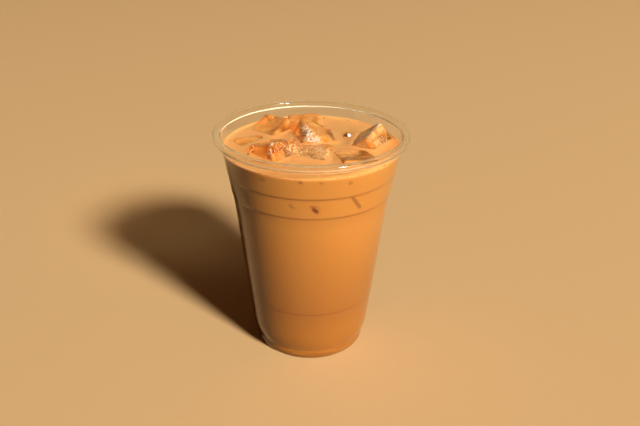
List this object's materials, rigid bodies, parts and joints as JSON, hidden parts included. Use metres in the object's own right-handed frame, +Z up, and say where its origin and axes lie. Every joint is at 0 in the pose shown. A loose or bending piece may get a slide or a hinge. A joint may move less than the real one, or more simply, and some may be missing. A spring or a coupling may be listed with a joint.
{
  "type": "iced milk drink in a clear takeaway cup",
  "caption": "Iced milky drink with floating ice cubes in a clear tapered disposable cup with a rolled rim, stacking ridges and a raised base.",
  "frame": {"origin": "centre of the standing ring under the cup, on the surface it stands on", "axes": "+Z up along the cup's axis, the shown side faces -Y"},
  "size_m": [0.098, 0.098, 0.118],
  "materials": {
    "clear_cup": "clear thermoformed PET, glossy, with fine moulding lines",
    "drink": "opaque caramel-coloured milky drink, wet smooth surface",
    "ice": "clear wet ice tinted by a film of the drink, with small bubbles and cracks"
  },
  "bodies": {
    "root": {"cup": "clear_cup", "drink": "drink", "ice_center": "ice", "ice_front_left": "ice", "ice_right": "ice", "ice_back": "ice", "ice_back_left": "ice", "ice_front_right": "ice", "ice_left": "ice", "ice_front": "ice"}
  },
  "joints": []
}
